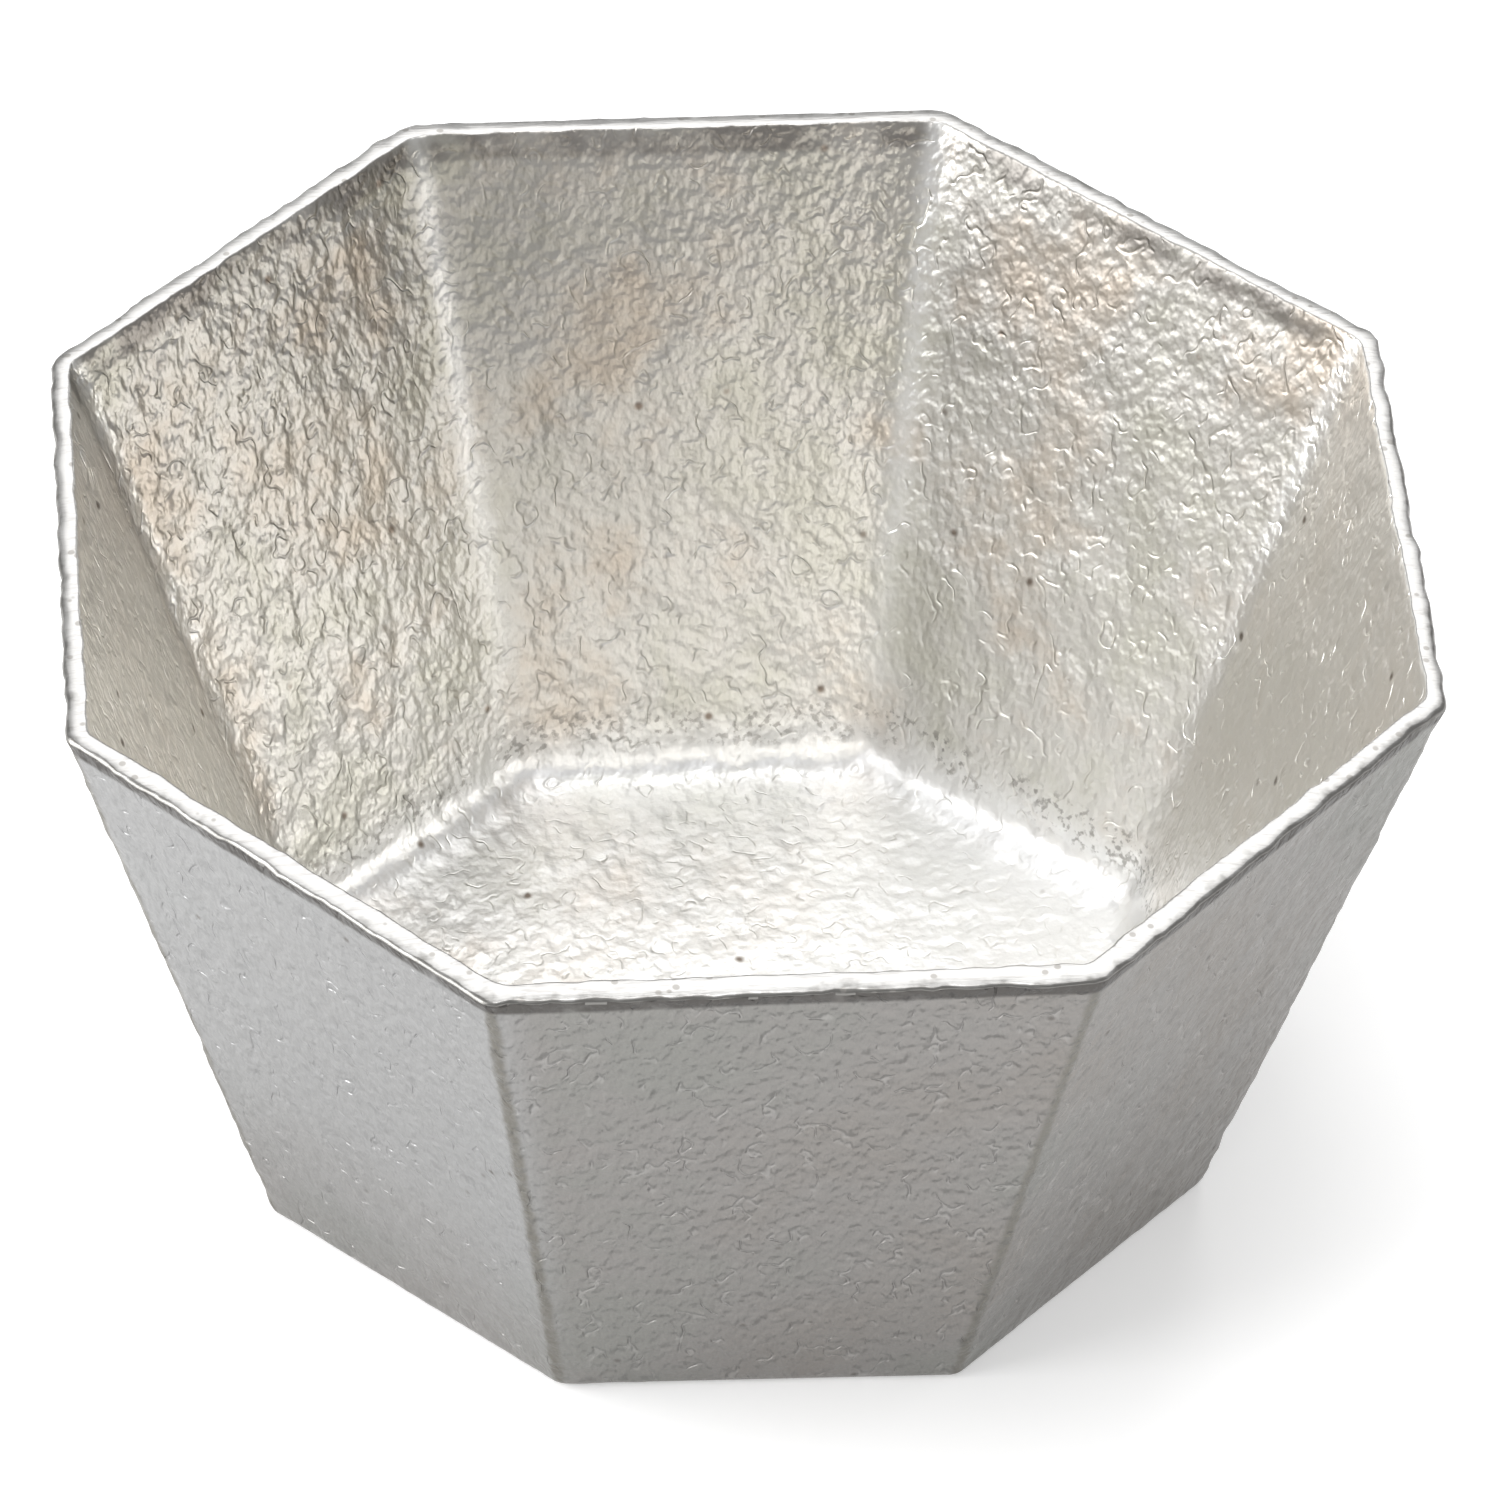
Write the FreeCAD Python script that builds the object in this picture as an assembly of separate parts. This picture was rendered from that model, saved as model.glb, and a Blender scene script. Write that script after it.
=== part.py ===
import FreeCAD, Part
import math
import os

# An eight-sided cup that flares from a small flat foot to a wide mouth. It is sand-cast
# in one piece of tin, so the floor, the eight sides and the rim are one body of metal.
#
# Millimetres, +Z up. The origin is the centre of the foot, on the surface that the cup
# stands on, and one of the eight flat sides faces -Y.

# The outside
SIDE_COUNT = 8
MOUTH_ACROSS_FLATS = 60.0
FOOT_ACROSS_FLATS = 42.2
CUP_HEIGHT = 31.6

# The metal. Both walls are measured level: one at the rim, one where it meets the floor.
RIM_WALL = 1.2
FLOOR_WALL = 2.6
FLOOR_THICKNESS = 1.8

# Edges, softened by the sand mould, and the rim, ground flat with a small bevel outside
OUTER_CORNER_RADIUS = 2.5
INNER_CORNER_RADIUS = 3.0
FLOOR_FILLET_RADIUS = 2.5
FOOT_EDGE_RADIUS = 0.8
RIM_BEVEL = 0.3

# How far the hollow's cutting shape stands past the rim
CUT_OVERRUN = 1.0

# Two heights closer than this are the same height
SAME_HEIGHT = 0.001


def outer_flats(height):
    """The outside's distance across flats at a height."""
    rise = height / CUP_HEIGHT
    return FOOT_ACROSS_FLATS + (MOUTH_ACROSS_FLATS - FOOT_ACROSS_FLATS) * rise


def inner_flats(height):
    """The hollow's distance across flats at a height, on past the rim too."""
    at_floor = outer_flats(FLOOR_THICKNESS) - 2 * FLOOR_WALL
    at_rim = MOUTH_ACROSS_FLATS - 2 * RIM_WALL
    rise = (height - FLOOR_THICKNESS) / (CUP_HEIGHT - FLOOR_THICKNESS)
    return at_floor + (at_rim - at_floor) * rise


def level_corners(across_flats, height):
    """The corners of a level, regular outline, anticlockwise, with one side facing -Y."""
    side_angle = 2 * math.pi / SIDE_COUNT
    corner_distance = across_flats / 2 / math.cos(side_angle / 2)
    corners = []
    for side in range(SIDE_COUNT):
        angle = side_angle * (side + 0.5) - math.pi / 2
        x = corner_distance * math.cos(angle)
        y = corner_distance * math.sin(angle)
        corners.append(FreeCAD.Vector(x, y, height))
    return corners


def flat_face(corners):
    """A flat face; its front is where its corners run anticlockwise."""
    return Part.Face(Part.makePolygon(corners + corners[:1]))


def flared_block(flats_at, low, high):
    """A solid block with flat sloping sides, from one height to another."""
    bottom = level_corners(flats_at(low), low)
    top = level_corners(flats_at(high), high)
    faces = [flat_face(bottom[::-1]), flat_face(top)]
    for side in range(SIDE_COUNT):
        before = side - 1
        faces.append(flat_face([bottom[before], bottom[side], top[side], top[before]]))
    return Part.Solid(Part.Shell(faces))


def corner_edges(block):
    """The edges where two sides meet, which climb from the bottom to the top."""
    return [edge for edge in block.Edges if edge.BoundBox.ZLength > SAME_HEIGHT]


def level_edges(block, height):
    """The edges that lie level at a height."""
    found = []
    for edge in block.Edges:
        middle = edge.BoundBox.Center.z
        if edge.BoundBox.ZLength < SAME_HEIGHT and abs(middle - height) < SAME_HEIGHT:
            found.append(edge)
    return found


def outside():
    """The cup's outer form: rounded corners, an eased foot and a bevelled rim."""
    block = flared_block(outer_flats, 0.0, CUP_HEIGHT)
    block = block.makeFillet(OUTER_CORNER_RADIUS, corner_edges(block))
    block = block.makeFillet(FOOT_EDGE_RADIUS, level_edges(block, 0.0))
    return block.makeChamfer(RIM_BEVEL, level_edges(block, CUP_HEIGHT))


def hollow():
    """The space inside: softer corners, and a fillet all round the floor."""
    block = flared_block(inner_flats, FLOOR_THICKNESS, CUP_HEIGHT + CUT_OVERRUN)
    block = block.makeFillet(INNER_CORNER_RADIUS, corner_edges(block))
    return block.makeFillet(FLOOR_FILLET_RADIUS, level_edges(block, FLOOR_THICKNESS))


def cup_body():
    """The whole casting: the outer form with its hollow cut out."""
    return outside().cut(hollow())


os.makedirs("parts", exist_ok=True)
cup = cup_body()
cup.exportStep("parts/cup_body.step")
print("cup_body:", len(cup.Solids), "solid,", round(cup.Volume), "mm3 of metal")
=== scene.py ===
# %% [markdown]
# # A small eight-sided cup, sand-cast in tin
# The cup is one casting: a floor, eight sloping sides and a rim. Molten tin was poured into a
# sand mould, so every face keeps the grain of the sand, and only the rim was ground flat
# afterwards. The engineering model fixes every size and place, so it is loaded first and measured.

# %% Load the frame
import math

import bmesh
import bpy
from mathutils import Matrix, Vector
from mathutils.noise import cell


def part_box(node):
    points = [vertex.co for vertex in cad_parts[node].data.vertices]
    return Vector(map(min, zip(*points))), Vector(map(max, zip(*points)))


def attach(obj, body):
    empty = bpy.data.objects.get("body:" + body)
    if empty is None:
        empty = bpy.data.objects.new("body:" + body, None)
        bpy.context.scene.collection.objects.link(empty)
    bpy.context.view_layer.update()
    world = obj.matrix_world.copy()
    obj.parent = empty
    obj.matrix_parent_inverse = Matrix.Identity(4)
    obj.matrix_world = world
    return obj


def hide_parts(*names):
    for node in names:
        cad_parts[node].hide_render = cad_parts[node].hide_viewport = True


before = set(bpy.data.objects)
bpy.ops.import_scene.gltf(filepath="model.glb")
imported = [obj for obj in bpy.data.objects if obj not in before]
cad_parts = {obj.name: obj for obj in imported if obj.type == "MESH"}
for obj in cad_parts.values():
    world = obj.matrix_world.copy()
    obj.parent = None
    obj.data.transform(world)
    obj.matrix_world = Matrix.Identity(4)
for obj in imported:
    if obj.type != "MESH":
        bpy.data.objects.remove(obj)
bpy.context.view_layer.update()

MM = 0.001
NODE = "cup_body"
cup_low, cup_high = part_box(NODE)
cup_height = cup_high.z - cup_low.z
half_mouth = (cup_high.x - cup_low.x) / 2
print("mouth", round(half_mouth * 2 / MM, 2), "mm, height", round(cup_height / MM, 2), "mm")

# %% [markdown]
# ## The foot, and the block that flares up from it
# On the real cup the outside is the print of a wooden pattern in sand: an octagon that widens
# evenly from foot to mouth. A hand-cut pattern is never quite regular, so most corners stand a few
# tenths of a millimetre off their true place, and one more than a millimetre. The block could be
# cut from eight slabs; it is drawn the way a pattern maker would start, with one octagon that is
# extruded upward, made wider, and then nudged at its corners. Faces and edges are chosen in code,
# by where they lie, so the helpers come first.

# %% Helpers: choose parts of the mesh
SIDES = 8


def pick(kind, wanted):
    """In edit mode, selects the vertices, edges or faces that wanted() agrees to."""
    mode = {"verts": "VERT", "edges": "EDGE", "faces": "FACE"}[kind]
    bpy.ops.mesh.select_mode(type=mode)
    bpy.ops.mesh.select_all(action="DESELECT")
    mesh = bmesh.from_edit_mesh(bpy.context.edit_object.data)
    for element in getattr(mesh, kind):
        if wanted(element):
            element.select_set(True)
    mesh.select_flush_mode()
    bmesh.update_edit_mesh(bpy.context.edit_object.data)
    return sum(element.select for element in getattr(mesh, kind))


def spread(edge):
    """How far an edge climbs, and how long it is."""
    one, two = (v.co for v in edge.verts)
    return abs(one.z - two.z), (one - two).length


def corner_of(spot):
    """The number of the corner that a point of a ring belongs to: 0 is at the front left."""
    angle = math.degrees(math.atan2(spot.y, spot.x))
    return round((angle + 112.5) / 45) % SIDES


# %% Helpers: a ring with its corners nudged
def shift_corners(shifts):
    """Moves each corner of the selected ring, with its rounding, a little off its true place."""
    mesh = bmesh.from_edit_mesh(bpy.context.edit_object.data)
    mesh.verts.index_update()
    ring = {v.index: corner_of(v.co) for v in mesh.verts if v.select}
    for corner, (right_mm, back_mm) in enumerate(shifts):
        pick("verts", lambda v: ring.get(v.index) == corner)
        bpy.ops.transform.translate(value=(right_mm * MM, back_mm * MM, 0))
    pick("verts", lambda v: v.index in ring)


def next_ring(rise, scale, shifts):
    """Extrudes the selected face, lifts it, makes it wider or narrower and shifts its corners."""
    bpy.ops.mesh.extrude_region_move(TRANSFORM_OT_translate={"value": (0, 0, rise)})
    bpy.ops.transform.resize(value=(scale, scale, 1), center_override=(0, 0, 0))
    shift_corners(shifts)


# %% The flared block
HALF_FOOT = 21.1 * MM
RIM_MARGIN = 0.04 * MM
RIM_FALL = 0.12 * MM
FOOT_SHIFTS = ((0, .4), (.1, 0), (.15, -.4), (0, 0), (0, 0), (0, 0), (0, 0), (.35, -.2))
MOUTH_SHIFTS = (
    (-.6, 0), (.4, 0), (-.2, -.5), (.05, .2), (-.3, .2), (-.45, .2), (.25, 1.2), (.05, .1))
half_rim = half_mouth - RIM_MARGIN

bpy.ops.object.select_all(action="DESELECT")
bpy.ops.mesh.primitive_circle_add(
    vertices=SIDES, radius=HALF_FOOT / math.cos(math.radians(22.5)), fill_type="NGON",
    rotation=(0, 0, math.radians(22.5)))
cup = bpy.context.object
cup.name = "cup_casting"
bpy.ops.object.transform_apply(location=True, rotation=True, scale=True)
bpy.ops.object.mode_set(mode="EDIT")
bpy.ops.mesh.select_all(action="SELECT")
next_ring(cup_height - RIM_FALL, half_rim / HALF_FOOT, MOUTH_SHIFTS)
pick("verts", lambda v: v.co.z < MM)
shift_corners(FOOT_SHIFTS)
print("corners of the block", pick("verts", lambda v: True))

# %% [markdown]
# ## Rounded arrises
# The sand breaks away at a sharp edge, so the eight arrises of the casting are round. A bevel of
# the slanting edges makes them, before the hollow is sunk, so the hollow inherits the rounding. The
# corners at the back were handled most and are the roundest.

# %% Round the arrises
ARRIS_RADII = (.8, .8, 1.1, 1.5, 2.2, 2.2, 1.0, .8)
STEEP_CLIMB = 20 * MM
for corner, radius_mm in enumerate(ARRIS_RADII):
    pick("edges", lambda e: spread(e)[0] > STEEP_CLIMB and corner_of(e.verts[0].co) == corner)
    bpy.ops.mesh.bevel(
        offset=radius_mm * MM * math.tan(math.radians(22.5)), segments=4, affect="EDGES",
        clamp_overlap=False)
print("arris radii", ARRIS_RADII, "mm")

# %% [markdown]
# ## The rim and the hollow
# A core left the hollow: a smaller octagon that narrows to a floor, with a soft cove where the
# walls meet the floor. The rim between the two is a land about a millimetre wide that falls a
# little outward, as hand grinding leaves it. A boolean cut would leave a rough, uneven mesh, so the
# top face is made smaller to leave the land, and is then pushed down ring by ring, following the
# quarter circle of the cove.

# %% Sink the hollow
RIM_LAND = 1.1 * MM
FLOOR_HEIGHT = 1.8 * MM
HALF_FLOOR = 19.3 * MM
COVE = 1.8 * MM
COVE_STEPS = 6
LAND_SHIFTS = (
    (0, .1), (0, .1), (.2, 0), (.25, -.05), (0, 0), (-.05, 0), (-.22, 0), (-.15, 0))
FLOOR_SHIFTS = (
    (.3, -.1), (-.3, -.1), (.1, .3), (.7, .1), (1.0, -.8), (.3, -1.1), (.4, -.5), (0, -.1))
NO_SHIFTS = ((0, 0),) * SIDES

MANY_SIDED = 20
half_hollow = half_rim - RIM_LAND
pick("faces", lambda f: min(v.co.z for v in f.verts) > cup_height - 2 * RIM_FALL)
next_ring(RIM_FALL, half_hollow / half_rim, LAND_SHIFTS)
pick("faces", lambda f: len(f.verts) > MANY_SIDED and f.calc_center_median().z > MM)
next_ring(FLOOR_HEIGHT + COVE - cup_height, HALF_FLOOR / half_hollow, FLOOR_SHIFTS)
width = HALF_FLOOR
for step in range(1, COVE_STEPS + 1):
    turn = math.radians(90 * step / COVE_STEPS)
    before = math.radians(90 * (step - 1) / COVE_STEPS)
    drop = COVE * (math.sin(turn) - math.sin(before))
    new_width = HALF_FLOOR - COVE * (1 - math.cos(turn))
    next_ring(-drop, new_width / width, NO_SHIFTS)
    width = new_width
bpy.ops.mesh.select_all(action="SELECT")
bpy.ops.mesh.normals_make_consistent(inside=False)
print("half width of the flat floor", round(width / MM, 2), "mm")

# %% [markdown]
# ## Eased edges
# The foot is worn round, and the grinding of the rim left a thin bevel outside and a crisp,
# barely broken edge inside. No real edge is perfectly sharp, and an eased one catches a line of
# light, so each loop of edges gets its own small bevel.


# %% Ease the foot and the rim
SAME_LEVEL = 0.01 * MM
NEARLY_LEVEL = 0.9


def looks_inward(face):
    return face.calc_center_median().xy.dot(face.normal.xy) < 0


def loop_edges(z, inner):
    """The edges of a level loop where a level face meets a wall."""
    def wanted(edge):
        if max(abs(v.co.z - z) for v in edge.verts) > SAME_LEVEL:
            return False
        walls = [f for f in edge.link_faces if abs(f.normal.z) < NEARLY_LEVEL]
        return len(walls) == 1 and looks_inward(walls[0]) == inner
    return wanted


EASED_EDGES = (
    ("foot", 0.0, False, 0.6 * MM, 4),
    ("rim outside", cup_height - RIM_FALL, False, 0.26 * MM, 3),
    ("rim inside", cup_height, True, 0.12 * MM, 2))
for name, z, inner, offset, segments in EASED_EDGES:
    print(name, "edges", pick("edges", loop_edges(z, inner)))
    bpy.ops.mesh.bevel(offset=offset, segments=segments, affect="EDGES", clamp_overlap=False)

# %% [markdown]
# ## A fine, even net
# The grain of the sand is a real shape on this cup, deep enough to catch the light, so the walls
# need a net of small faces that can be pushed in and out. The long level edges and the walls are
# cut evenly, and the floor is closed with a grid. The foot stays one flat face with a narrow
# border, because nothing on it needs relief.

# %% Cut the walls into a net
LONG_LEVEL = 8 * MM
LEVEL_CUTS = 54
WALL_CLIMB = 15 * MM
OUTER_CUTS = 66
INNER_CUTS = 82
pick("edges", lambda e: spread(e)[1] > LONG_LEVEL and spread(e)[0] < 2 * MM)
bpy.ops.mesh.subdivide(number_cuts=LEVEL_CUTS)
for inner, cuts in ((False, OUTER_CUTS), (True, INNER_CUTS)):
    chosen = pick(
        "edges", lambda e: spread(e)[0] > WALL_CLIMB and looks_inward(e.link_faces[0]) == inner)
    bpy.ops.mesh.subdivide(number_cuts=cuts)
    print("wall edges cut", chosen)

# %% Close the floor with a grid, and give the foot a border
FLOOR_SIDES = 100
FOOT_BORDER = 0.5 * MM
pick("faces", lambda f: len(f.verts) > FLOOR_SIDES and f.calc_center_median().z > MM)
bpy.ops.mesh.delete(type="ONLY_FACE")
floor_rim = pick("edges", lambda e: e.is_boundary)
bpy.ops.mesh.fill_grid(span=floor_rim // 4, use_interp_simple=True)
pick("faces", lambda f: len(f.verts) > FLOOR_SIDES and f.calc_center_median().z < MM)
bpy.ops.mesh.inset(thickness=FOOT_BORDER)
bpy.ops.mesh.select_all(action="SELECT")
bpy.ops.mesh.normals_make_consistent(inside=False)
bpy.ops.object.mode_set(mode="OBJECT")
bpy.ops.object.shade_smooth()
print("faces in the net", len(cup.data.polygons))

# %% [markdown]
# ## Regions of the surface
# A casting is never flat. The walls wave gently, the core's coarse sand printed worm-like ridges
# inside, the finer facing sand left small grains outside, and the lip wavers where it was ground
# by hand. Each of these belongs to its own region, so the regions are painted first, as vertex
# groups. A weight between 0 and 1 lets the relief fade out toward a region's edge, with no step.
# A region is chosen by the way a point looks, in toward the axis or out. The flat floor looks
# neither way, so a fixed scatter decides there, point by point: the two kinds of relief mix into
# coarse grains, and they fall in the same places each time.

# %% Helpers: paint a region
CENTRE = 5 * MM
LEVEL_TILT = 0.001
SCATTER_CELL = 0.05 * MM


def looks_in(vertex):
    """Whether a point looks toward the axis. Where it is level, a fixed scatter decides."""
    if vertex.normal.xy.length > LEVEL_TILT:
        return vertex.co.xy.dot(vertex.normal.xy) < 0
    return cell(Vector((vertex.co.x, vertex.co.y, 0)) / SCATTER_CELL) < 0


def paint(name, weight_of):
    """Makes a vertex group whose weight at each vertex is weight_of(its place, looks inward)."""
    group = cup.vertex_groups.new(name=name)
    count = 0
    for vertex in cup.data.vertices:
        facing_in = looks_in(vertex) or vertex.co.xy.length < CENTRE
        weight = weight_of(vertex.co, facing_in)
        if weight > 0:
            group.add([vertex.index], min(weight, 1.0), "REPLACE")
            count += 1
    print("region", name, count, "points")


def in_hollow(spot, facing_in):
    """Whether a point is on the wall or the floor of the hollow."""
    return facing_in and FLOOR_HEIGHT - 0.5 * MM < spot.z < cup_height - 0.3 * MM


# %% Regions inside
CREASE_IN_COVE = 0.05
FADE_UNDER_RIM = 1.2 * MM
CALM_HALF = 9 * MM


def crease_weight(spot, facing_in):
    """The inner corners: softened more toward the floor, and hardly at all in the cove."""
    if not in_hollow(spot, facing_in):
        return 0.0
    if spot.z < FLOOR_HEIGHT + COVE:
        return CREASE_IN_COVE
    depth = (cup_height - spot.z) / cup_height
    return 0.35 + 0.65 * depth if depth > 0.04 else depth * 8


def wall_weight(spot, facing_in):
    """The walls of the hollow, fading out under the rim and toward the cove."""
    if not in_hollow(spot, facing_in):
        return 0.0
    rise = (spot.z - FLOOR_HEIGHT - COVE) / (2 * MM)
    return min(1.0, (cup_height - spot.z) / FADE_UNDER_RIM) * min(1.0, max(0.1, rise))


def ridge_weight(spot, facing_in):
    """The side walls, where the core's ridges are strongest: less on the right, least behind."""
    side = min(1.0, max(0.2, (abs(spot.x) - CALM_HALF) / (5 * MM)))
    return wall_weight(spot, facing_in) * side * (0.6 if spot.x > 0 else 1.0)


def floor_weight(spot, facing_in):
    """The flat floor."""
    rise = (spot.z - FLOOR_HEIGHT) / (0.5 * MM)
    return 1.0 - rise if in_hollow(spot, facing_in) and rise < 1 else 0.0


def cove_weight(spot, facing_in):
    """The cove between the walls and the floor."""
    rise = (spot.z - FLOOR_HEIGHT) / COVE
    return max(0.0, 1.0 - abs(rise - 0.6) / 0.8) if in_hollow(spot, facing_in) else 0.0


# %% Regions outside
def outside_weight(spot, facing_in):
    """The outside, fading out toward the rim and the foot."""
    if facing_in or spot.z < 0.2 * MM or spot.z > cup_height - 0.35 * MM:
        return 0.0
    return min(1.0, (cup_height - spot.z) / (2.0 * MM), spot.z / (1.0 * MM))


def lip_weight(spot, facing_in):
    """The last millimetre under the top of the rim."""
    share = 0.6 if facing_in else 1.0
    return share * max(0.0, (spot.z - cup_height) / MM + 1.0)


# %% Paint the regions
REGIONS = {
    "creases": crease_weight, "walls": wall_weight, "ridges": ridge_weight,
    "floor": floor_weight, "cove": cove_weight, "outside": outside_weight, "lip": lip_weight}
for region_name, weight_of in REGIONS.items():
    paint(region_name, weight_of)

# %% [markdown]
# ## Distance to the arrises and creases
# The materials paint a line of painted shade along the arrises and a painted highlight along the
# inner corners, so they need to know how far each point lies from a corner line. That distance
# can't be painted by hand evenly, so it is measured and kept on the mesh as an attribute, which the
# materials read later.


# %% Measure how far each point lies from a corner line
def corner_line_ends():
    """The ends of the eight outer arrises and of the eight inner creases, without rounding."""
    lines = {"outside": [], "inside": []}
    for corner in range(SIDES):
        angle = math.radians(45 * corner - 112.5)
        way = Vector((math.cos(angle), math.sin(angle), 0)) / math.cos(math.radians(22.5))
        foot = way * HALF_FOOT + Vector((*FOOT_SHIFTS[corner], 0)) * MM
        mouth = way * half_rim + Vector((*MOUTH_SHIFTS[corner], 0)) * MM
        land = mouth * half_hollow / half_rim + Vector((*LAND_SHIFTS[corner], 0)) * MM
        cove = land * HALF_FLOOR / half_hollow + Vector((*FLOOR_SHIFTS[corner], 0)) * MM
        rise = Vector((0, 0, 1))
        lines["outside"].append((foot, mouth + rise * (cup_height - RIM_FALL)))
        lines["inside"].append((cove + rise * (FLOOR_HEIGHT + COVE), land + rise * cup_height))
    return lines


def line_distance(spot, ends):
    """How far a point lies from the line between two ends."""
    start, along = ends[0], ends[1] - ends[0]
    share = min(1.0, max(0.0, (spot - start).dot(along) / along.length_squared))
    return (start + along * share - spot).length


corner_lines = corner_line_ends()
distances = []
for vertex in cup.data.vertices:
    lines = corner_lines["inside" if looks_in(vertex) else "outside"]
    distances.append(min(line_distance(vertex.co, ends) for ends in lines) / MM)
corner_distance = cup.data.attributes.new("corner_distance_mm", "FLOAT", "POINT")
corner_distance.data.foreach_set("value", distances)
print("farthest point from a corner line", round(max(distances), 1), "mm")

# %% [markdown]
# ## Softened corners and real relief
# The core was rounded at its corners, more toward the floor, and a smoothing modifier that works
# only on that region does the same. Then the relief is pushed in and out of the mesh with clouds
# of noise. Height painted into a material would look flat from the side and vanish on the outline,
# so all that is deeper than a grain of sand is real. The core was drawn upward out of the
# sand, so its ridges are stretched that way, by an empty that lends the noise its scale.


# %% Soften the inner corners
def apply_modifier(kind, name, **values):
    """Adds a modifier to the cup, sets its values and applies it."""
    modifier = cup.modifiers.new(name, kind)
    for key, value in values.items():
        setattr(modifier, key, value)
    bpy.ops.object.modifier_apply(modifier=name)


apply_modifier("SMOOTH", "soft_corners", factor=0.5, iterations=110, vertex_group="creases")


# %% Helper: push a relief in and out
def relief(
        name, region, size, height, hard=False, middle=0.5, depth=1, direction="NORMAL", guide=None):
    """Displaces a region by a cloudy pattern: its size is a bump's width, its height is in metres."""
    pattern = bpy.data.textures.new(name, "CLOUDS")
    pattern.noise_scale = size
    pattern.noise_depth = depth
    pattern.noise_type = "HARD_NOISE" if hard else "SOFT_NOISE"
    coordinates = {"texture_coords": "OBJECT", "texture_coords_object": guide} if guide else {}
    apply_modifier(
        "DISPLACE", name, texture=pattern, strength=height, mid_level=middle,
        direction=direction, vertex_group=region, **coordinates)
    print("relief", name, "size", round(size / MM, 2), "height", round(height / MM, 2), "mm")


# %% Push the relief in and out
bpy.ops.object.empty_add()
long_grain = bpy.context.object
long_grain.name = "long_grain"
long_grain.scale = (1, 1, 1.8)
bpy.context.view_layer.update()
bpy.context.view_layer.objects.active = cup
relief("waves_inside", "walls", 8 * MM, 0.32 * MM)
relief("waves_outside", "outside", 12 * MM, 0.24 * MM, middle=0.62)
relief("core_waver", "walls", 3 * MM, 0.14 * MM)
relief("core_ridges", "ridges", 0.7 * MM, 0.21 * MM, guide=long_grain)
relief("core_folds", "ridges", 1.5 * MM, 0.1 * MM, hard=True, middle=0.3, guide=long_grain)
relief("core_grain", "walls", 0.7 * MM, 0.05 * MM)
relief("floor_bumps", "floor", 0.95 * MM, 0.2 * MM)
relief("cove_waver", "cove", 1.3 * MM, 0.34 * MM)
relief("facing_grain", "outside", 0.8 * MM, 0.16 * MM)
relief("facing_lumps", "outside", 2.4 * MM, 0.12 * MM, middle=0.6)
relief("lip_waver_across", "lip", 1.2 * MM, 0.5 * MM, direction="X", depth=2)
relief("lip_waver_along", "lip", 1.1 * MM, 0.5 * MM, direction="Y", depth=2)
bpy.data.objects.remove(long_grain)

# %% [markdown]
# ## The true size
# The relief pushes a few points past the size in the engineering model, where the real cup's
# highest spots would touch a gauge. Those points are brought back to the gauge.

# %% Keep the casting inside its true size
moved = 0
for vertex in cup.data.vertices:
    kept = Vector(
        min(max(value, least), most) for value, least, most in zip(vertex.co, cup_low, cup_high))
    moved += (kept - vertex.co).length > 0
    vertex.co = kept
low = Vector(map(min, *(v.co for v in cup.data.vertices)))
high = Vector(map(max, *(v.co for v in cup.data.vertices)))
print("cup box mm", [round(c / MM, 2) for c in (*low, *high)], "points moved", moved)
print("triangles", sum(len(p.vertices) - 2 for p in cup.data.polygons))

# %% [markdown]
# ## Shared effects for the metal
# Bare tin is a soft, silvery metal. What makes it look cast is fine: the print of each grain of
# sand, tarnish in faint patches of tan and green, pits where gas was trapped, and rub marks
# on the ground faces. Photographs of metal could be wrapped round the cup, but they would stretch
# on its sloping sides, so every pattern is worked out from the place of each point instead. Each
# effect is a node group, so that all four faces of the metal can share it.

# %% Helpers: one node at a time
def add_node(tree, kind, x, y, **values):
    """Adds a node at a place in the editor and sets its named inputs."""
    node = tree.nodes.new("ShaderNode" + kind)
    node.location = (x, y)
    for name, value in values.items():
        node.inputs[name].default_value = value
    return node


def math_node(tree, operation, x, y, first, second):
    """Adds a sum between two sockets or numbers and returns its result."""
    node = tree.nodes.new("ShaderNodeMath")
    node.operation = operation
    node.location = (x, y)
    for slot, value in enumerate((first, second)):
        if isinstance(value, (int, float)):
            node.inputs[slot].default_value = value
        else:
            tree.links.new(value, node.inputs[slot])
    return node.outputs[0]


def times(tree, x, y, first, second):
    """The product of two masks, or of a mask and a number."""
    return math_node(tree, "MULTIPLY", x, y, first, second)


def ramp(tree, x, y, source, low, high):
    """Turns a value between low and high into a mask from 0 to 1."""
    node = tree.nodes.new("ShaderNodeMapRange")
    node.interpolation_type = "SMOOTHSTEP"
    node.location = (x, y)
    node.inputs["From Min"].default_value = low
    node.inputs["From Max"].default_value = high
    tree.links.new(source, node.inputs["Value"])
    return node.outputs["Result"]


def blend_colors(tree, x, y, mask, one, two):
    """Blends two colours or colour sockets by a mask."""
    node = tree.nodes.new("ShaderNodeMix")
    node.data_type = "RGBA"
    node.location = (x, y)
    tree.links.new(mask, node.inputs["Factor"])
    for name, value in (("A", one), ("B", two)):
        socket = next(s for s in node.inputs if s.name == name and s.type == "RGBA")
        if isinstance(value, tuple):
            socket.default_value = (*value, 1.0)
        else:
            tree.links.new(value, socket)
    return next(s for s in node.outputs if s.type == "RGBA")


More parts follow.
